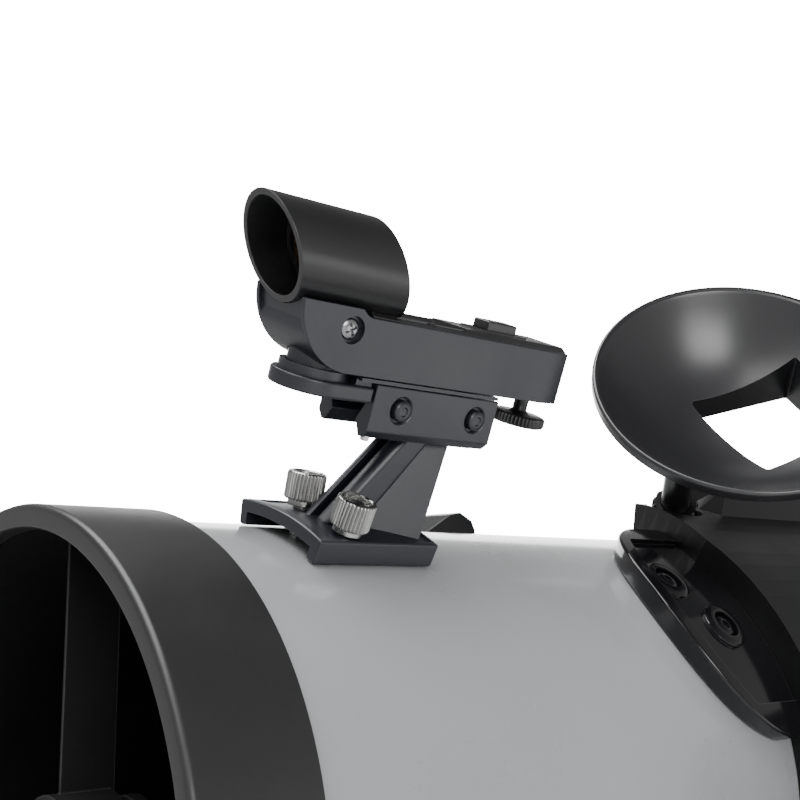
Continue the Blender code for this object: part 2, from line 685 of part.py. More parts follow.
def nose_front(clock):
    """Round front edge of the saddle nose."""
    across = math.radians(clock - NOSE_CENTRE_CLOCK) * TUBE_RADIUS
    reach = max(NOSE_ROUND ** 2 - across ** 2, 1.0)
    return min(NOSE_CENTRE_X - math.sqrt(reach), cradle_front(clock) - 1.5)


saddle_nose = wrap(
    "saddle_nose", nose_front, lambda clock: cradle_front(clock) - GAP, TUBE_RADIUS + GAP, 83.6,
    -77.0, -18.0, 24, "black_gloss", tube_frame,
)
groove = wrap(
    "nose_groove_form", lambda clock: nose_front(clock) + 5.0, lambda clock: 260.0, 82.0, 92.0,
    -70.0, -25.5, 18, None, tube_frame,
)
cut(saddle_nose, groove)
for number, (x, clock) in enumerate(((176.0, -40.5), (186.0, -53.0))):
    screw_seat = rod("saddle_screw_seat_%d" % (number + 1), 4.4, 80.2, 95.0, None, tube_frame,
                     (x, 0, 0), turned_about(clock), 20)
    cut(saddle_nose, screw_seat)
    turned(
        "saddle_screw_%d" % (number + 1),
        [(0, 80.5), (3.8, 80.5), (3.8, 82.0), (2.6, 83.0), (0, 83.3)],
        "black_gloss", tube_frame, (x, 0, 0), turned_about(clock), 20,
    )

cradle = wrap(
    "cradle_shell", cradle_front, lambda clock: CRADLE_END, TUBE_RADIUS + GAP, CRADLE_RADIUS,
    -142.0, -8.0, 32, "black_satin", tube_frame,
)
wing = side_plate(
    "wing_form",
    [(240.0, 78.6), (246.0, 96.0), (256.0, 102.0), (330.0, 102.0), (341.0, 94.0), (341.0, 78.6)],
    -29.0, -13.0, None, tube_frame,
)
axle_boss = rod("axle_boss_form", 32.0, 84.0, 98.0, None, tube_frame,
                (ALTITUDE_X, 0, 0), ALONG_MINUS_Y, 32)
axle_bore = rod("axle_bore", 8.4, 88.0, 110.0, None, tube_frame,
                (ALTITUDE_X, 0, 0), ALONG_MINUS_Y, 24)
cradle_form = rod("cradle_form", TUBE_RADIUS + GAP, 150.0, 400.0, None, tube_frame,
                  turn=ALONG_X, steps=60)
join(cradle, wing)
join(cradle, axle_boss)

# Dished holder, stem and lock collar -----------------------------------------------------------------
mouth = Vector(HOLDER_MOUTH).normalized()
side = (Vector(HOLDER_SIDE) - mouth * Vector(HOLDER_SIDE).dot(mouth)).normalized()
rise = mouth.cross(side)
stem_foot = Vector(HOLDER_RIM) - side * STEM_OFFSET[0] - rise * STEM_OFFSET[1] - mouth * STEM_HEIGHT
holder_axis = frame("holder_axis", tube_frame, stem_foot)
holder_axis.rotation_euler = Matrix((side, rise, mouth)).transposed().to_euler()

socket = rod("socket_form", 9.2, -6.0, 5.0, None, holder_axis, steps=28)
stem_bore = rod("stem_bore", STEM_RADIUS + GAP, -1.5, 12.0, None, holder_axis, steps=24)
collar_room = rod("collar_room", 9.6, 3.6, 40.0, None, holder_axis, steps=28)
cut(socket, cradle_form)
join(cradle, socket)
for form in (axle_bore, stem_bore, collar_room):
    cut(cradle, form)

bowl_profile = []
for step in range(8):
    share = step / 7.0
    radius = HOLDER_RADIUS * share
    depth = HOLDER_DEPTH * (1.0 - share ** 2.4)
    bowl_profile.append((radius, -depth - HOLDER_WALL * (1.0 - 0.25 * share)))
rim_points = [(HOLDER_RADIUS, 1.2), (HOLDER_RADIUS - 0.7, 1.8), (0, 1.8)]
inside_points = []
for step in range(7):
    share = (7 - step) / 7.0 * (HOLDER_RADIUS - 4.2) / HOLDER_RADIUS
    radius = HOLDER_RADIUS * share
    inside_points.append((radius, -HOLDER_DEPTH * (1.0 - (share * 1.06) ** 2.4)))
inside_points.append((0, -HOLDER_DEPTH))
holder_place = (STEM_OFFSET[0], STEM_OFFSET[1], STEM_HEIGHT)
dish = turned("dished_holder", bowl_profile + rim_points, "black_satin", holder_axis,
              holder_place, steps=44)


def rhombus(grow):
    """Outline of the window in the dish, grown by a wall."""
    half_short = DISH_WINDOW_SHORT + grow * 1.2
    return [
        (DISH_WINDOW_X - DISH_WINDOW_LEFT - grow * 1.7, DISH_WINDOW_Y),
        (DISH_WINDOW_X, DISH_WINDOW_Y - half_short),
        (DISH_WINDOW_X + DISH_WINDOW_RIGHT + grow * 1.7, DISH_WINDOW_Y),
        (DISH_WINDOW_X, DISH_WINDOW_Y + half_short),
    ]


tunnel = plate("tunnel_form", rhombus(2.2), -31.0, -6.0, None, holder_axis, holder_place)
mouth_points = [
    (0, 30.0), (HOLDER_RADIUS - 3.2, 30.0), (HOLDER_RADIUS - 3.2, 1.5), (HOLDER_RADIUS - 3.9, 0.9),
]
cavity = turned("cavity_form", mouth_points + inside_points, None, holder_axis, holder_place,
                steps=44)
opening = plate("opening_form", rhombus(0.0), -60.0, 30.0, None, holder_axis, holder_place)
stem = rod("stem_form", STEM_RADIUS, 2.2, STEM_HEIGHT - HOLDER_DEPTH + 3.3, None, holder_axis,
           steps=24)
join(dish, tunnel)
cut(dish, cavity)
cut(dish, opening)
join(dish, stem)

collar = plate("lock_collar", knurled(7.9, 14, 0.6), 4.0, 14.5, "black_gloss", holder_axis)
collar_bore = rod("collar_bore", STEM_RADIUS + GAP, 0.0, 20.0, None, holder_axis, steps=24)
cut(collar, collar_bore)

# Stand ---------------------------------------------------------------------------------------------
axle = turned(
    "altitude_axle",
    [(0, 88.4), (8.0, 88.4), (8.0, 140.0), (0, 140.0)],
    "silver", altitude_axis, turn=ALONG_MINUS_Y, steps=24,
)
arm_outline = []
for step in range(15):
    angle = math.radians(-20.0 + 220.0 * step / 14)
    arm_outline.append((50.0 * math.cos(angle), 50.0 * math.sin(angle)))
arm_outline += [
    (-62.0, -240.0), (-66.0, 41.1 - AXIS_HEIGHT), (66.0, 41.1 - AXIS_HEIGHT), (62.0, -240.0),
]
arm = side_plate("arm", arm_outline, ARM_OUTSIDE, ARM_INSIDE, "black_satin", azimuth_axis,
                 (0, 0, AXIS_HEIGHT))
arm_bore = rod("arm_bore", 8.4, 80.0, 150.0, None, azimuth_axis, (0, 0, AXIS_HEIGHT), ALONG_MINUS_Y, 24)
cut(arm, arm_bore)
turned(
    "altitude_knob",
    [(0, 140.4), (8.4, 140.4), (8.4, 134.4), (20.0, 134.4), (25.0, 137.0), (25.0, 153.0),
     (22.5, 156.0), (0, 157.0)],
    "black_satin", altitude_axis, turn=ALONG_MINUS_Y, steps=24,
)
turned(
    "turntable",
    [(10.5, 24.8), (BOARD_RADIUS, 24.8), (BOARD_RADIUS, 40.0), (BOARD_RADIUS - 0.8, 40.8),
     (10.5, 40.8)],
    "board", azimuth_axis, steps=40,
)
turned(
    "ground_board",
    [(0, 10.3), (BOARD_RADIUS, 10.3), (BOARD_RADIUS, 24.3), (10.0, 24.3), (10.0, 44.0),
     (8.8, 45.2), (0, 45.2)],
    "board", stand_frame, steps=40,
)
for number in range(3):
    across, forward = on_tube(120.0 * number, FEET_RING)
    turned(
        "foot_%d" % (number + 1),
        [(0, 0.0), (15.0, 0.0), (17.0, 2.0), (17.0, 10.0), (0, 10.0)],
        "rubber", stand_frame, (forward, across, 0), steps=24,
    )
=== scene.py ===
import json
import math

import bmesh
import bpy
from mathutils import Matrix, Vector


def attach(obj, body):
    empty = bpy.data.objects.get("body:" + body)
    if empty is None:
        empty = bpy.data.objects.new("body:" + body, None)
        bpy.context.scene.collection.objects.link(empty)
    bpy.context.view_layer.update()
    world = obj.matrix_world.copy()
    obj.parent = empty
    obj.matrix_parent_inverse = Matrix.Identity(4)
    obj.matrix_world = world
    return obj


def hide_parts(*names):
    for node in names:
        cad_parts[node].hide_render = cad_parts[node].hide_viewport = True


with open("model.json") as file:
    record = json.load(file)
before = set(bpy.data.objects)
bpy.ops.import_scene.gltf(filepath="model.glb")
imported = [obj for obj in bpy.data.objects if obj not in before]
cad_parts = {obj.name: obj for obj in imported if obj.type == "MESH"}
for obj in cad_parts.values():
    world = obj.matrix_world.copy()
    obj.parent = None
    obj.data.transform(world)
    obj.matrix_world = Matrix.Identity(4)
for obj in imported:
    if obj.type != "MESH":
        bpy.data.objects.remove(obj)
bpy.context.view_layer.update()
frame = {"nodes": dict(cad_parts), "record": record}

# Visual model of a tabletop newtonian reflector telescope, around the CAD frame.
# Lengths are in mm and angles in degrees, unless a comment says otherwise.
MM = 0.001


def turn(axis, angle):
    return Matrix.Rotation(math.radians(angle), 4, axis)


def shift(x, y, z):
    return Matrix.Translation((x * MM, y * MM, z * MM))


# Places and sizes, the same as in the CAD ------------------------------------------------
# In the tube's frame X runs along the tube from its open front, and Z points up
TUBE = shift(-283.0, -12.84, 352.0)
TUBE_RADIUS = 77.0
TUBE_INSIDE = 75.6
TUBE_START = 5.3
TUBE_END = 548.0
ON_TUBE = 77.3  # inner radius of what is fitted around the tube
ALONG_X = turn("Y", 90)
TO_NEAR_SIDE = turn("X", 90)
FOCUSER = TUBE @ shift(105.0, 0.0, 0.0) @ turn("X", -68.0)

# The finder's frame is the tube's, rolled about the tube's axis; its near side is at -Y
FINDER = TUBE @ turn("X", 22.1)
WINDOW_LINE = FINDER @ shift(0, 0, 146.8)
WINDOW_SLANT = turn("Y", -25.0)
BODY_HALF = 10.2  # half the width of the finder body and of the azimuth plate
DECK = 135.4  # top of the body behind the window tube, under the lid
SHELL_TOP = DECK + 0.6
CHEEK_X = 53.0
CHEEK_Z = 138.6
CHEEK_TOP = 137.7
SIDE_SCREW = FINDER @ shift(51.7, 0, 132.4) @ TO_NEAR_SIDE
PIVOT_X = 51.0
PIVOT = FINDER @ shift(PIVOT_X, 0, 0)
CLAMP_SCREWS = (72.4, 97.6)
CLAMP_SCREW_Z = 115.0
WHEEL_X = 123.5
FOOT_TOP = 83.8
NUT_X = 65.5
NUTS_ACROSS = (-9.8, 9.8)

# Saddle nose on the tube's near shoulder, with its screws as (x, clock angle)
CRADLE_EDGE = 203.0
NOSE_CLOCK = 47.6
NOSE_X = 205.0
NOSE_REACH = 41.0
SADDLE_SCREWS = ((176.0, -40.5), (186.0, -53.0))

# Dished holder: the centre of its rim, where it faces, and its stem's offset from its axis
RIM = Vector((214.9, -57.0, 124.6))
MOUTH = Vector((-0.564, -0.566, 0.602)).normalized()
SIDE = Vector((0.548, -0.783, -0.295))
SIDE = (SIDE - MOUTH * SIDE.dot(MOUTH)).normalized()
RISE = MOUTH.cross(SIDE)
DISH_OFFSET = (13.1, 15.4, 60.0)
FOOT = RIM - SIDE * DISH_OFFSET[0] - RISE * DISH_OFFSET[1] - MOUTH * DISH_OFFSET[2]
HOLDER = TUBE @ shift(*FOOT) @ Matrix((SIDE, RISE, MOUTH)).transposed().to_4x4()
DISH = HOLDER @ shift(*DISH_OFFSET)
DISH_RADIUS = 48.0
DISH_DEPTH = 24.0
DISH_STEPS = 24
OPENING_CENTRE = (13.5, 9.0)


# Materials -------------------------------------------------------------------------------
def set_inputs(node, **values):
    """Sets a shader node's inputs; an underscore stands for a space in an input's name."""
    for name, value in values.items():
        node.inputs[name.replace("_", " ")].default_value = value


def add_node(tree, kind, **values):
    node = tree.nodes.new("ShaderNode" + kind)
    set_inputs(node, **values)
    return node


def add_mix(tree, data_type, **values):
    node = tree.nodes.new("ShaderNodeMix")
    node.data_type = data_type
    set_inputs(node, **values)
    return node


def add_grain(tree, shader, place, size, strength, streak):
    """Fine noise as bump, drawn out along local X by streak."""
    link = tree.links.new
    fine = add_node(tree, "TexNoise", Scale=1.0 / (size * MM), Detail=4.0)
    if streak:
        stretch = add_node(tree, "Mapping", Scale=(1.0, streak, streak))
        link(place.outputs["Object"], stretch.inputs["Vector"])
        link(stretch.outputs["Vector"], fine.inputs["Vector"])
    else:
        link(place.outputs["Object"], fine.inputs["Vector"])
    bump = add_node(tree, "Bump", Strength=strength, Distance=size * MM * 0.25)
    link(fine.outputs["Fac"], bump.inputs["Height"])
    link(bump.outputs["Normal"], shader.inputs["Normal"])


def add_edge_wear_and_highlight(tree, base, slow, edge_wear_and_highlight, worn_and_lit_colour):
    """Mixes a paler colour over the base colour at sharp edges, in patches: partly wear, partly painted
    highlight where edges catch the light.
    """
    link = tree.links.new
    soft = add_node(tree, "Bevel", Radius=0.5 * MM)
    soft.samples = 4
    shape = add_node(tree, "NewGeometry")
    same = add_node(tree, "VectorMath")
    same.operation = "DOT_PRODUCT"
    link(soft.outputs["Normal"], same.inputs[0])
    link(shape.outputs["Normal"], same.inputs[1])
    # Mask of sharp edges to be made paler: partly wear, partly painted highlight where edges catch the light.
    edge = add_node(tree, "MapRange", From_Min=0.995, From_Max=0.86, To_Max=edge_wear_and_highlight)
    link(same.outputs["Value"], edge.inputs["Value"])
    patch = add_node(tree, "Math")
    patch.operation = "MULTIPLY"
    link(edge.outputs["Result"], patch.inputs[0])
    link(slow.outputs["Fac"], patch.inputs[1])
    worn_and_lit_edges = add_mix(tree, "RGBA", B=(*worn_and_lit_colour, 1.0))
    link(base, worn_and_lit_edges.inputs["A"])
    link(patch.outputs["Value"], worn_and_lit_edges.inputs["Factor"])
    return worn_and_lit_edges.outputs["Result"]


def surface(name, colour, rough, grain, size, vary, metal=0.0, edge_wear_and_highlight=0.0, worn_and_lit_colour=(0.20, 0.20, 0.21),
            coat=0.0, streak=0.0, shine=0.5, clear=0.0):
    """Fine grain as bump, slow changes of colour and gloss, and paler sharp edges: partly wear, partly
    painted edge highlight.
    """
    material = bpy.data.materials.new(name)
    material.use_nodes = True
    tree = material.node_tree
    link = tree.links.new
    shader = tree.nodes["Principled BSDF"]
    set_inputs(shader, Metallic=metal, Specular_IOR_Level=shine, Coat_Weight=coat, Coat_Roughness=0.12,
               Transmission_Weight=clear)
    place = add_node(tree, "TexCoord")
    slow = add_node(tree, "TexNoise", Scale=32.0, Detail=5.0)
    link(place.outputs["Object"], slow.inputs["Vector"])
    add_grain(tree, shader, place, size, grain, streak)
    gloss = add_node(tree, "MapRange", From_Min=0.3, From_Max=0.7, To_Min=rough * (1.0 - vary),
                     To_Max=min(rough * (1.0 + vary), 1.0))
    link(slow.outputs["Fac"], gloss.inputs["Value"])
    link(gloss.outputs["Result"], shader.inputs["Roughness"])
    darker = (*[c * (1.0 - vary) for c in colour], 1.0)
    lighter = (*[min(c * (1.0 + vary), 1.0) for c in colour], 1.0)
    tone = add_mix(tree, "RGBA", A=darker, B=lighter)
    link(slow.outputs["Fac"], tone.inputs["Factor"])
    result = tone.outputs["Result"]
    if edge_wear_and_highlight:
        result = add_edge_wear_and_highlight(tree, result, slow, edge_wear_and_highlight, worn_and_lit_colour)
    link(result, shader.inputs["Base Color"])
    return material


# The wear amounts and colours pale the sharp edges: partly wear, partly painted edge highlight.
silver_paint = surface("silver_paint", (0.36, 0.372, 0.38), 0.28, 0.05, 0.9, 0.05, coat=0.9)
inside_paint = surface("inside_paint", (0.003, 0.003, 0.003), 0.85, 0.5, 0.5, 0.2, shine=0.2)
charcoal = surface("charcoal_moulding", (0.013, 0.013, 0.0135), 0.40, 0.28, 0.30, 0.10, edge_wear_and_highlight=0.35, shine=0.75)
satin = surface("satin_black_moulding", (0.009, 0.009, 0.010), 0.33, 0.22, 0.30, 0.12, edge_wear_and_highlight=0.35, shine=0.75)
dark_blue = surface("dark_blue_grey_moulding", (0.0085, 0.0100, 0.0155), 0.36, 0.30, 0.28, 0.10,
                    edge_wear_and_highlight=0.5, worn_and_lit_colour=(0.12, 0.125, 0.14), shine=0.75)
panel_black = surface("cradle_moulding", (0.005, 0.005, 0.0055), 0.34, 0.18, 0.35, 0.12, edge_wear_and_highlight=0.2, shine=0.3)
gloss_black = surface("gloss_black_moulding", (0.005, 0.005, 0.006), 0.10, 0.05, 0.6, 0.2, edge_wear_and_highlight=0.3)
matt_black = surface("matt_black_paint", (0.007, 0.007, 0.007), 0.80, 0.5, 0.4, 0.2, edge_wear_and_highlight=0.8, shine=0.3)
rubber = surface("soft_rubber", (0.012, 0.012, 0.012), 0.80, 0.6, 0.5, 0.15, edge_wear_and_highlight=0.4)
turned_metal = surface("turned_metal", (0.46, 0.46, 0.45), 0.14, 0.25, 0.25, 0.10, metal=1.0, streak=6.0)
zinc = surface("plated_screw", (0.33, 0.33, 0.34), 0.25, 0.10, 0.4, 0.10, metal=1.0)
chrome = surface("plated_metal", (0.72, 0.72, 0.72), 0.10, 0.04, 0.6, 0.10, metal=1.0)
mirror = surface("mirror_coating", (0.90, 0.91, 0.92), 0.02, 0.01, 2.0, 0.02, metal=1.0)
laminate = surface("black_laminate", (0.016, 0.016, 0.017), 0.50, 0.55, 0.8, 0.15, edge_wear_and_highlight=0.9,
                   worn_and_lit_colour=(0.16, 0.12, 0.08))
dish_black = surface("dish_moulding", (0.014, 0.014, 0.016), 0.31, 0.12, 0.30, 0.08, edge_wear_and_highlight=0.4, shine=0.9)
lens = surface("coated_lens", (0.10, 0.045, 0.02), 0.04, 0.01, 1.0, 0.1, coat=1.0, clear=0.55)


# Shapes ------------------------------------------------------------------------------------
def new_piece(name, shape, matrix):
    """An object from a bmesh in mm, placed by the matrix."""
    bmesh.ops.recalc_face_normals(shape, faces=shape.faces)
    mesh = bpy.data.meshes.new(name)
    shape.to_mesh(mesh)
    shape.free()
    mesh.transform(Matrix.Scale(MM, 4))
    piece = bpy.data.objects.new(name, mesh)
    bpy.context.scene.collection.objects.link(piece)
    piece.matrix_world = matrix
    return piece


def turned(name, profile, matrix, steps=96, teeth=0, depth=0.0, reach=0.0):
    """(radius, height) points turned about local Z; those at least reach from it can be fluted."""
    shape = bmesh.new()
    closed_by_axis = profile[0][0] == 0 and profile[-1][0] == 0
    columns = []
    tips = {}
    if teeth:
        steps = teeth * 6
    for step in range(steps):
        angle = 2.0 * math.pi * step / steps
        dip = depth * (0.5 - 0.5 * math.cos(teeth * angle)) ** 1.5 if teeth else 0.0
        column = []
        for index, (radius, height) in enumerate(profile):
            if radius == 0:
                if index not in tips:
                    tips[index] = shape.verts.new((0.0, 0.0, height))
                column.append(tips[index])
            else:
                far = radius - dip if radius >= reach else radius
                column.append(shape.verts.new((far * math.cos(angle), far * math.sin(angle), height)))
        columns.append(column)
    count = len(profile)
    for step in range(steps):
        here = columns[step]
        there = columns[(step + 1) % steps]
        for index in range(count - 1 if closed_by_axis else count):
            after = (index + 1) % count
            corners = []
            for corner in (here[index], there[index], there[after], here[after]):
                if corner not in corners:
                    corners.append(corner)
            if len(corners) > 2:
                shape.faces.new(corners)
    return new_piece(name, shape, matrix)


def loft(name, base, top, matrix):
    """A solid between two outlines with the same number of corners."""
    shape = bmesh.new()
    under = [shape.verts.new(corner) for corner in base]
    over = [shape.verts.new(corner) for corner in top]
    shape.faces.new(list(reversed(under)))
    shape.faces.new(over)
    for index in range(len(base)):
        after = (index + 1) % len(base)
        shape.faces.new([under[index], under[after], over[after], over[index]])
    return new_piece(name, shape, matrix)


def plate(name, outline, low, high, matrix):
    """An outline of (x, y) points between two heights."""
    return loft(name, [(x, y, low) for x, y in outline], [(x, y, high) for x, y in outline], matrix)


def side_plate(name, outline, near, far, matrix):
    """An outline of (x, z) points running along y."""
    return plate(name, outline, -far, -near, matrix @ TO_NEAR_SIDE)


def end_plate(name, outline, start, end, matrix):
    """An outline of (y, z) points running along x."""
    return plate(name, [(-z, y) for y, z in outline], start, end, matrix @ ALONG_X)


def block(name, low, high, matrix):
    outline = [(low[0], low[1]), (high[0], low[1]), (high[0], high[1]), (low[0], high[1])]
    return plate(name, outline, low[2], high[2], matrix)


def rod(name, radius, low, high, matrix, steps=48):
    return turned(name, [(0, low), (radius, low), (radius, high), (0, high)], matrix, steps)


def arc(centre, radius, first, last, steps):
    """Points on an arc between two angles."""
    points = []
    for step in range(steps + 1):
        angle = first + (last - first) * step / steps
        points.append((centre[0] + radius * math.cos(angle), centre[1] + radius * math.sin(angle)))
    return points


def fillet(points, steps):
    """Outline with round corners from (x, y, radius) points."""
    result = []
    for index, (x, y, radius) in enumerate(points):
        if radius == 0:
            result.append((x, y))
            continue
        here = Vector((x, y))
        before = (Vector(points[index - 1][:2]) - here).normalized()
        after = (Vector(points[(index + 1) % len(points)][:2]) - here).normalized()
        half = before.angle(after) / 2.0
        centre = here + (before + after).normalized() * (radius / math.sin(half))
        first = here + before * (radius / math.tan(half)) - centre
        last = here + after * (radius / math.tan(half)) - centre
        start = math.atan2(first.y, first.x)
        sweep = (math.atan2(last.y, last.x) - start + math.pi) % (2.0 * math.pi) - math.pi
        result += arc(centre, radius, start, start + sweep, steps)
    return result


def straight(x):
    """A band's edge that runs square around the tube."""
    return lambda clock: x


def band(name, front, back, inside, outside, first, last, steps, matrix):
    """A band around X between two radii; its edges' x are functions of the clock angle."""
    shape = bmesh.new()
    rows = []
    for step in range(steps + 1):
        clock = first + (last - first) * step / steps
        across = math.sin(math.radians(clock))
        up = math.cos(math.radians(clock))
        corners = ((front(clock), inside), (back(clock), inside),
                   (back(clock), outside), (front(clock), outside))
        rows.append([shape.verts.new((x, radius * across, radius * up)) for x, radius in corners])
    for here, there in zip(rows, rows[1:]):
        for index in range(4):
            after = (index + 1) % 4
            shape.faces.new([here[index], here[after], there[after], there[index]])
    shape.faces.new(rows[0])
    shape.faces.new(list(reversed(rows[-1])))
    return new_piece(name, shape, matrix)


def settle(piece):
    """Makes the modifiers part of the mesh."""
    graph = bpy.context.evaluated_depsgraph_get()
    mesh = bpy.data.meshes.new_from_object(piece.evaluated_get(graph), depsgraph=graph)
    piece.modifiers.clear()
    piece.data = mesh


def combine(piece, operation, others):
    for other in others:
        change = piece.modifiers.new("shape", "BOOLEAN")
        change.operation = operation
        change.solver = "EXACT"
        change.object = other
    settle(piece)
    for other in others:
        bpy.data.objects.remove(other)


def cut(piece, *others):
    combine(piece, "DIFFERENCE", others)


def join(piece, *others):
    combine(piece, "UNION", others)


def add_bevel(piece, width, segments, angle):
    """A modifier that rounds the edges sharper than the angle."""
    change = piece.modifiers.new("edges", "BEVEL")
    change.width = width * MM
    change.segments = segments
    change.limit_method = "ANGLE"
    change.angle_limit = math.radians(angle)


def soften(piece, width, segments=3):
    add_bevel(piece, width, segments, 35.0)
    settle(piece)


def done(piece, material, body, slot, *nodes):
    """Shading, material, body and the CAD nodes it stands for; the slot argument is not used."""
    mesh = piece.data
    mesh.materials.clear()
    mesh.materials.append(material)
    mesh.shade_smooth()
    mesh.set_sharp_from_angle(angle=math.radians(38.0))
    normals = piece.modifiers.new("normals", "WEIGHTED_NORMAL")
    normals.keep_sharp = True
    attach(piece, body)
    if nodes:
        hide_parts(*nodes)


# Tube and its front ring ---------------------------------------------------------------------
def make_tube():
    profile = [(TUBE_INSIDE, TUBE_START), (TUBE_RADIUS, TUBE_START), (TUBE_RADIUS, TUBE_END),
               (TUBE_INSIDE, TUBE_END)]
    tube = turned("tube_skin", profile, TUBE @ ALONG_X, 192)
    cut(tube, rod("hole", 26.0, 40.0, 100.0, FOCUSER, 64))
    done(tube, silver_paint, "optical_tube", "tube_silver", "main_tube")
    tube.data.materials.append(inside_paint)
    middle_of_wall = 76.4 * MM
    for face in tube.data.polygons:
        if math.hypot(face.center.x, face.center.y) < middle_of_wall:
            face.material_index = 1


def make_front_hood():
    profile = [(74.0, 5.0), (74.0, 0.9), (74.35, 0.25), (75.0, 0.0), (78.0, 0.0), (78.8, 0.2), (79.35, 0.7),
               (79.7, 1.6), (79.7, 30.0), (79.5, 30.6), (79.0, 30.8), (ON_TUBE, 30.8), (ON_TUBE, 5.0)]
    hood = turned("front_hood", profile, TUBE @ ALONG_X, 192)
    done(hood, charcoal, "optical_tube", "charcoal", "front_ring")


# Red-dot finder --------------------------------------------------------------------------------
def slanted_pipe(name, outside, bore, front, rear, steps):
    """A pipe on the window's axis, whose ends cross that axis at front and rear."""
    pipe = rod(name, outside, 18.0, 78.0, WINDOW_LINE @ ALONG_X, steps)
    cut(pipe,
        block("front", (-40, -30, -60), (0, 30, 60), WINDOW_LINE @ shift(front, 0, 0) @ WINDOW_SLANT),
        block("rear", (0, -30, -60), (40, 30, 60), WINDOW_LINE @ shift(rear, 0, 0) @ WINDOW_SLANT),
        rod("bore", bore, -10.0, 90.0, WINDOW_LINE @ ALONG_X, steps))
    return pipe


def make_window_tube():
    barrel = slanted_pipe("window_barrel", 12.0, 10.5, 31.2, 63.0, 128)
    soften(barrel, 0.3)
    done(barrel, satin, "finder_head", "black_satin", "finder_window_tube")
    retaining_ring = slanted_pipe("window_retaining_ring", 10.35, 9.1, 42.6, 43.8, 96)
    done(retaining_ring, satin, "finder_head", "black_satin")


def window_seat():
    """The hollow that the window tube lies in."""
    return rod("seat", 12.12, 0.0, 90.0, WINDOW_LINE @ ALONG_X, 96)


def body_outline(radius, start, tail):
    """Side view of the body: round cheek in front, flat bottom, and a step up to the window."""
    cheek = arc((CHEEK_X, CHEEK_Z), radius, math.radians(184.0), math.radians(270.0), 14)
    points = [(start, CHEEK_TOP), *cheek, (tail, CHEEK_Z - radius), (tail, SHELL_TOP), (58.0, SHELL_TOP)]
    for step in range(5):
        share = step / 4.0
        points.append((57.0 - 3.5 * share, SHELL_TOP + (CHEEK_TOP - SHELL_TOP) * share ** 2))
    return points


def make_finder_body():
    shell = side_plate("finder_shell", body_outline(16.6, 36.4, 127.5), -BODY_HALF, BODY_HALF, FINDER)
    tapers = []
    for sign in (-1, 1):
        outline = [(115.5, 11.2 * sign), (135.0, 6.7 * sign), (135.0, 20.0 * sign), (115.5, 20.0 * sign)]
        tapers.append(plate("taper", outline, 110, 150, FINDER))
    cut(shell, *tapers)
    soften(shell, 0.4)
    cut(shell, block("between_cheeks", (30.0, -8.9, 100.0), (38.5, 8.9, 150.0), FINDER))
    nose = side_plate("finder_nose", body_outline(15.7, 37.6, 60.0), -8.8, 8.8, FINDER)
    soften(nose, 0.35)
    for piece in (shell, nose):
        cut(piece, window_seat(), rod("pivot_room", 7.3, 110.0, 126.0, PIVOT))
    details = [rod("screw_recess", 3.4, 8.6, 20.0, SIDE_SCREW, 40)]
    for across in (-9.05, 9.05):
        details.append(block("lid_groove", (62.0, across - 0.3, 133.6), (114.0, across + 0.3, 140.0), FINDER))
    cut(shell, *details)
    done(shell, dark_blue, "finder_head", "blue_black", "finder_body")
    done(nose, dark_blue, "finder_head", "blue_black")


def make_finder_lid():
    low = DECK + 0.5
    high = DECK + 2.0
    section = [(-8.6, low, 0), (-8.6, low + 0.4, 0), (-6.8, high, 0.6), (6.8, high, 0.6),
               (8.6, low + 0.4, 0), (8.6, low, 0)]
    lid = end_plate("finder_lid", fillet(section, 3), 58.0, 126.4, FINDER)
    soften(lid, 0.2, 2)
    surround = block("switch_surround", (97.4, -4.3, DECK + 1.2), (114.6, 4.3, DECK + 2.4), FINDER)
    soften(surround, 0.25, 2)
    join(lid, surround)
    openings = [window_seat(), block("switch_slot", (98.6, -3.3, DECK - 2.0), (113.4, 3.3, 150.0), FINDER)]
    for start in (66.0, 78.5):
        for across in (-7.6, 7.6):
            low_corner = (start, across - 0.45, DECK)
            openings.append(block("groove", low_corner, (start + 10.5, across + 0.45, 150.0), FINDER))
    cut(lid, *openings)
    done(lid, satin, "finder_head", "black_satin", "finder_top_cover")


def make_switch():
    tab = block("switch_tab", (100.6, -3.0, DECK + 0.4), (111.4, 3.0, 140.2), FINDER)
    soften(tab, 0.45)
    grooves = []
    for step in range(4):
        x = 103.0 + 2.0 * step
        grooves.append(block("groove", (x, -4.0, 139.85), (x + 0.7, 4.0, 145.0), FINDER))
    cut(tab, *grooves)
    done(tab, satin, "power_switch", "black_satin", "finder_power_switch")


def make_side_screw():
    profile = [(0, 8.7), (2.6, 8.7), (2.6, 9.0), (2.2, 9.4), (1.2, 9.6), (0, 9.65)]
    screw = turned("cross_head_screw", profile, SIDE_SCREW, 48)
    slots = SIDE_SCREW @ turn("Z", 28)
    cut(screw, block("slot", (-1.7, -0.38, 8.9), (1.7, 0.38, 12.0), slots),
        block("slot", (-0.38, -1.7, 8.9), (0.38, 1.7, 12.0), slots))
    done(screw, zinc, "finder_head", "chrome", "finder_side_screw")


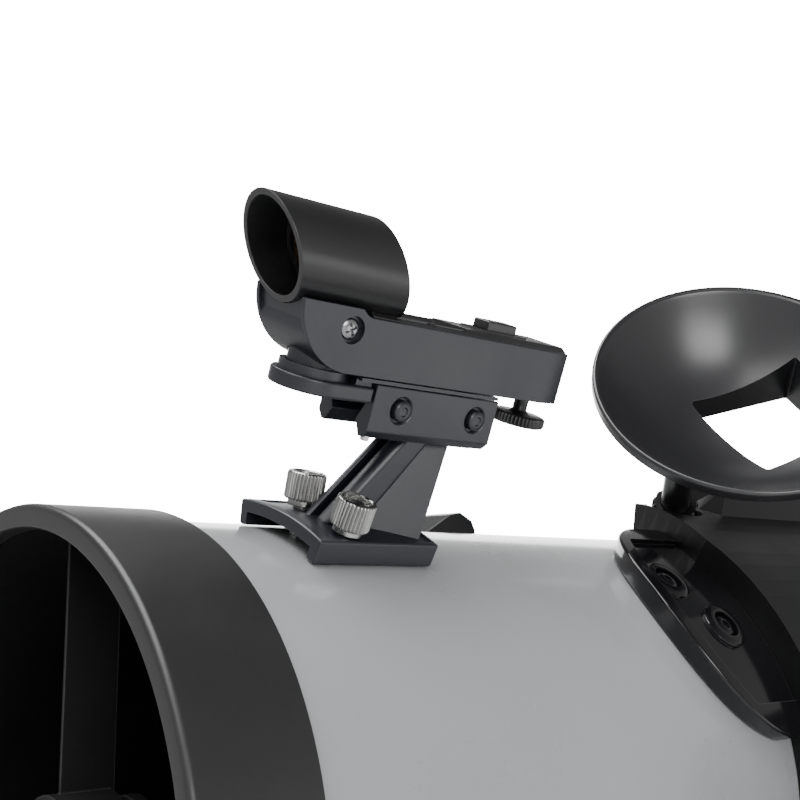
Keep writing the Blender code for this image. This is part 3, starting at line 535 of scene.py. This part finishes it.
def make_azimuth_plate():
    """A thin plate under the body, and in front a lower round nose on a neck."""
    nose = arc((PIVOT_X, 0.0), BODY_HALF, math.pi / 2.0, math.pi * 1.5, 32)
    swivel = plate("swivel_plate", nose + [(104.0, -BODY_HALF), (104.0, BODY_HALF)], 120.9, 121.7, FINDER)
    cut(swivel, block("front", (30.0, -20.0, 120.0), (58.0, 20.0, 123.0), FINDER))
    under = plate("under", nose + [(62.6, -BODY_HALF), (62.6, BODY_HALF)], 115.7, 119.6, FINDER)
    soften(under, 0.7)
    riser = block("riser", (57.5, -8.8, 119.0), (62.4, 8.8, 121.3), FINDER)
    neck = rod("neck", 8.6, 119.0, 121.7, PIVOT, 72)
    boss = turned("boss", [(0, 121.2), (7.0, 121.2), (7.0, 125.3), (6.7, 125.6), (0, 125.6)], PIVOT, 64)
    join(swivel, under, riser, neck, boss)
    done(swivel, dark_blue, "finder_swivel", "blue_black", "finder_azimuth_plate")


def make_clamp_block():
    section = [(-10.2, 109.1), (-8.4, 107.2), (-7.0, 107.2), (-4.8, 110.9), (-7.2, 115.6), (7.2, 115.6),
               (4.8, 110.9), (7.0, 107.2), (8.4, 107.2), (10.2, 109.1), (10.2, 120.6), (-10.2, 120.6)]
    shoe = end_plate("clamp_shoe", section, 63.2, 104.6, FINDER)
    soften(shoe, 0.3)
    recess = [(0, 9.1), (3.3, 9.1), (3.3, 9.9), (3.8, 10.3), (3.8, 14.0), (0, 14.0)]
    head = [(0, 9.3), (2.7, 9.3), (2.7, 10.7), (2.5, 11.1), (2.1, 11.35), (1.3, 11.35), (1.0, 10.9),
            (0, 10.8)]
    for number, x in enumerate(CLAMP_SCREWS, 1):
        line = FINDER @ shift(x, 0, CLAMP_SCREW_Z) @ TO_NEAR_SIDE
        cut(shoe, turned("recess", recess, line, 48))
        cap = turned("clamp_cap_%d" % number, head, line, 48)
        done(cap, dark_blue, "shoe_screw_%d" % number, "black_gloss", "finder_clamp_screw_%d" % number)
    done(shoe, dark_blue, "finder_shoe", "blue_black", "finder_clamp_block")
    pin_profile = [(0, 106.2), (0.8, 106.2), (1.1, 106.4), (1.1, 107.5), (0, 107.5)]
    pin = turned("shoe_pin", pin_profile, FINDER @ shift(65.2, -7.7, 0), 32)
    done(pin, chrome, "finder_shoe", "chrome")


def make_altitude_wheel():
    profile = [(0, 113.8), (6.6, 113.8), (7.4, 114.1), (7.7, 114.5), (7.7, 116.3), (7.4, 116.7), (6.6, 117.0),
               (3.0, 117.0), (2.4, 117.4), (2.0, 118.0), (2.0, 121.4), (0, 121.4)]
    wheel = turned("knurled_wheel", profile, FINDER @ shift(WHEEL_X, 0, 0), teeth=44, depth=0.45, reach=7.0)
    done(wheel, satin, "altitude_wheel", "black_satin", "finder_altitude_wheel")


# Finder bracket and its thumb nuts ---------------------------------------------------------------
def stud_line(across):
    """A stud's axis: square to the foot, and across from the middle at the foot's top."""
    return FINDER @ shift(NUT_X, 0, 0) @ turn("X", -math.degrees(math.atan2(across, FOOT_TOP)))


def make_bracket():
    """A curved foot, hollow underneath, with a leaning post, a strut, a tongue and two webs."""
    foot = band("finder_foot", straight(54.5), straight(92.8), ON_TUBE, FOOT_TOP, -10.0, 14.5, 48, FINDER)
    soften(foot, 0.8)
    cut(foot, band("hollow", straight(50.0), straight(88.8), 75.0, 80.6, -7.8, 12.3, 40, FINDER),
        band("tray", straight(57.6), straight(91.4), 83.35, 90.0, -8.9, 13.4, 40, FINDER))
    leaning = [(61.8, 82.4), (74.0, 82.4), (92.5, 108.5), (81.8, 108.5)]
    post = side_plate("post", leaning, -4.4, 1.1, FINDER)
    soften(post, 2.3, 8)
    back_wall = side_plate("back_wall", [(67.5, 82.4), (74.0, 82.4), (92.5, 108.5), (87.0, 108.5)], 0.4, 2.9,
                           FINDER)
    strut = side_plate("strut", leaning, 2.7, 4.4, FINDER)
    soften(strut, 0.5)
    dovetail = [(-6.4, 106.6), (6.4, 106.6), (4.2, 110.9), (6.5, 115.0), (-6.5, 115.0), (-4.2, 110.9)]
    tongue = end_plate("tongue", dovetail, 74.0, 102.5, FINDER)
    soften(tongue, 0.3)
    join(foot, post, back_wall, strut, tongue)
    for sign in (-1, 1):
        base = [(72.0, 1.4), (88.8, 9.1), (88.8, 10.9), (72.0, 3.0)]
        top = [(88.5, 2.0), (95.0, 4.4), (95.0, 6.0), (88.5, 3.6)]
        web = loft("web", [(x, y * sign, 82.3) for x, y in base],
                   [(x, y * sign, 107.3) for x, y in top], FINDER)
        soften(web, 0.35)
        join(foot, web)
    for across in NUTS_ACROSS:
        cut(foot, rod("hole", 2.5, 70.0, 98.0, stud_line(across), 32))
    done(foot, dark_blue, "optical_tube", "blue_black", "finder_bracket")


def make_thumb_nuts():
    profile = [(2.3, 84.1), (3.7, 84.1), (3.9, 84.3), (3.9, 85.5), (4.6, 85.6), (5.0, 85.9), (5.1, 86.2),
               (5.1, 92.1), (4.9, 92.6), (4.5, 92.9), (4.0, 92.9), (3.7, 92.6), (3.6, 91.6), (2.3, 91.4)]
    for number, across in enumerate(NUTS_ACROSS, 1):
        nut = turned("thumb_nut_%d" % number, profile, stud_line(across), teeth=32, depth=0.5, reach=4.95)
        done(nut, turned_metal, "bracket_nut_%d" % number, "silver", "finder_thumb_nut_%d" % number)


# Saddle nose ---------------------------------------------------------------------------------------
def cradle_front(clock):
    """The cradle's front edge: square around the tube, then slanting back on the top."""
    return CRADLE_EDGE + max(clock + 33.0, 0.0) * 0.5


def nose_front(clock):
    """The saddle nose's rounded front edge."""
    across = math.radians(clock + NOSE_CLOCK) * TUBE_RADIUS
    reach = math.sqrt(max(NOSE_REACH ** 2 - across ** 2, 1.0))
    return min(NOSE_X - reach, cradle_front(clock) - 1.5)


def make_saddle():
    saddle = band("saddle_front", nose_front, lambda clock: cradle_front(clock) - 0.3, ON_TUBE, 83.6,
                  -77.0, -18.0, 72, TUBE)
    soften(saddle, 0.9, 4)
    cut(saddle, band("groove", lambda clock: nose_front(clock) + 5.0, straight(260.0), 82.0, 92.0,
                     -70.0, -25.5, 60, TUBE))
    lug = [(0, 81.0), (7.4, 81.0), (7.4, 82.6), (6.6, 83.3), (5.6, 83.5), (0, 83.5)]
    head = [(0, 80.5), (3.8, 80.5), (3.8, 82.0), (3.3, 82.7), (2.4, 83.1), (0, 83.25)]
    hexagon = arc((0.0, 0.0), 1.6, 0.0, math.radians(300.0), 5)
    for number, (x, clock) in enumerate(SADDLE_SCREWS, 1):
        line = TUBE @ shift(x, 0, 0) @ turn("X", -clock)
        join(saddle, turned("lug", lug, line, 48))
        cut(saddle, rod("seat", 4.4, 80.2, 95.0, line))
        cap = turned("saddle_cap_%d" % number, head, line, 48)
        cut(cap, plate("socket", hexagon, 82.2, 90.0, line))
        done(cap, gloss_black, "optical_tube", "black_gloss", "saddle_screw_%d" % number)
    done(saddle, gloss_black, "optical_tube", "black_gloss", "saddle_nose")


# Dished holder and lock collar ------------------------------------------------------------------------
def bowl(share):
    """The bowl's height at a share of its radius; its rim is at 0."""
    return -DISH_DEPTH * (1.0 - share ** 2.4)


def rhombus(grow, corner):
    """The opening in the bowl, grown for the tunnel around it."""
    x, y = OPENING_CENTRE
    half = 23.0 + grow * 1.2
    return fillet([(x - 30.0 - grow * 1.7, y, corner), (x, y - half, corner),
                   (x + 25.5 + grow * 1.7, y, corner), (x, y + half, corner)], 6)


def make_dish():
    outer = []
    for step in range(DISH_STEPS + 1):
        share = step / DISH_STEPS
        outer.append((47.85 * share, bowl(share) - 2.4 * (1.0 - 0.25 * share)))
    outer += [(47.9, 0.6), (47.8, 1.2), (47.5, 1.6), (47.1, 1.8), (0, 1.8)]
    dish = turned("dish_shell", outer, DISH, 144)
    join(dish, plate("tunnel", rhombus(2.2, 3.0), -30.9, -6.0, DISH))
    inner = [(0, 30.0), (46.9, 30.0), (46.9, 1.5), (46.7, 1.15), (46.2, 1.0), (45.8, 0.6), (45.4, 0.1)]
    for step in range(DISH_STEPS):
        share = (DISH_STEPS - step) / DISH_STEPS * 45.2 / DISH_RADIUS
        inner.append((DISH_RADIUS * share, bowl(share * 1.06)))
    inner.append((0, -DISH_DEPTH))
    cut(dish, turned("cavity", inner, DISH, 144), plate("opening", rhombus(0.0, 1.2), -60.0, 30.0, DISH))
    soften(dish, 0.35)
    join(dish, rod("stem", 5.0, 2.2, 37.4, HOLDER))
    done(dish, dish_black, "dish", "black_satin", "dished_holder")


def make_lock_collar():
    profile = [(5.3, 4.0), (7.3, 4.0), (7.8, 4.5), (7.9, 5.0), (7.9, 13.0), (7.6, 13.9), (6.9, 14.5),
               (5.3, 14.5)]
    collar = turned("fluted_collar", profile, HOLDER, teeth=14, depth=1.1, reach=7.2)
    done(collar, satin, "stem_lock", "black_gloss", "lock_collar")


# The CAD nodes: edges and materials ----------------------------------------------------------------------
SLOT_MATERIALS = {
    "tube_silver": silver_paint, "black_satin": satin, "black_matt": matt_black,
    "black_gloss": gloss_black, "charcoal": charcoal, "blue_black": dark_blue, "chrome": chrome,
    "silver": turned_metal, "mirror": mirror, "rubber": rubber, "lens": lens, "board": laminate,
}


def finish_cad_nodes():
    slots = {row["node"]: row["material_slot"] for row in frame["record"]["subparts"]}
    for name, node in frame["nodes"].items():
        node.data.materials.clear()
        node.data.materials.append(panel_black if name == "cradle_shell" else SLOT_MATERIALS[slots[name]])
        if not node.hide_render:
            weld = node.modifiers.new("weld", "WELD")
            weld.merge_threshold = 0.002 * MM
            add_bevel(node, 0.4, 2, 40.0)


# Camera, floor and light, in metres -------------------------------------------------------------------------
def make_camera():
    forward = Vector((0.658, 0.738, 0.153)).normalized()
    right = forward.cross(Vector((0, 0, 1))).normalized()
    above = right.cross(forward)
    eye = bpy.data.cameras.new("camera")
    eye.lens = 55.44
    eye.sensor_width = 36.0
    eye.clip_start = 0.01
    camera = bpy.data.objects.new("camera", eye)
    bpy.context.scene.collection.objects.link(camera)
    camera.matrix_world = Matrix((right, above, -forward)).transposed().to_4x4()
    camera.location = Vector((-0.4082, -0.28664, 0.4116))
    bpy.context.scene.camera = camera


def make_floor():
    shape = bmesh.new()
    bmesh.ops.create_circle(shape, cap_ends=True, segments=96, radius=1.9 / MM)
    floor = new_piece("floor", shape, Matrix.Translation((0, 0, -0.0005)))
    floor.data.materials.append(surface("pale_floor", (0.80, 0.80, 0.80), 0.7, 0.1, 3.0, 0.02))


def make_world():
    """White all round: bright for the camera, soft and stronger near the horizon for the light."""
    world = bpy.data.worlds.new("studio")
    world.use_nodes = True
    bpy.context.scene.world = world
    tree = world.node_tree
    link = tree.links.new
    back = tree.nodes["Background"]
    set_inputs(back, Color=(1.0, 1.0, 1.0, 1.0))
    place = add_node(tree, "TexCoord")
    height = add_node(tree, "SeparateXYZ")
    glow = add_node(tree, "MapRange", From_Min=0.0, From_Max=0.8, To_Min=0.62, To_Max=0.12)
    rays = add_node(tree, "LightPath")
    strength = add_mix(tree, "FLOAT", B=18.0)
    link(place.outputs["Generated"], height.inputs["Vector"])
    link(height.outputs["Z"], glow.inputs["Value"])
    link(rays.outputs["Is Camera Ray"], strength.inputs["Factor"])
    link(glow.outputs["Result"], strength.inputs["A"])
    link(strength.outputs["Result"], back.inputs["Strength"])


def soft_light(name, place, target, power, width, height):
    """A rectangular lamp aimed at the target."""
    lamp = bpy.data.lights.new(name, "AREA")
    lamp.shape = "RECTANGLE"
    lamp.size = width
    lamp.size_y = height
    lamp.energy = power
    holder = bpy.data.objects.new(name, lamp)
    bpy.context.scene.collection.objects.link(holder)
    holder.location = place
    holder.rotation_euler = (Vector(target) - Vector(place)).to_track_quat("-Z", "Y").to_euler()
    holder.visible_camera = False


def make_lights():
    soft_light("top_light", (-0.45, 0.1, 1.6), (-0.15, -0.02, 0.45), 24.0, 1.5, 0.8)
    soft_light("left_light", (-1.2, -0.45, 1.35), (-0.1, -0.06, 0.47), 8.0, 1.2, 0.8)
    soft_light("camera_light", (-0.72, -1.6, 0.62), (-0.05, -0.05, 0.47), 11.0, 0.8, 0.6)
    soft_light("low_light", (0.45, -0.72, 0.09), (-0.15, -0.06, 0.45), 1.15, 0.8, 0.3)
    soft_light("back_light", (0.75, 1.15, 0.75), (-0.05, 0.0, 0.45), 9.0, 1.4, 0.5)


make_camera()
make_tube()
make_front_hood()
make_window_tube()
make_finder_body()
make_finder_lid()
make_switch()
make_side_screw()
make_azimuth_plate()
make_clamp_block()
make_altitude_wheel()
make_bracket()
make_thumb_nuts()
make_saddle()
make_dish()
make_lock_collar()
finish_cad_nodes()
make_floor()
make_world()
make_lights()
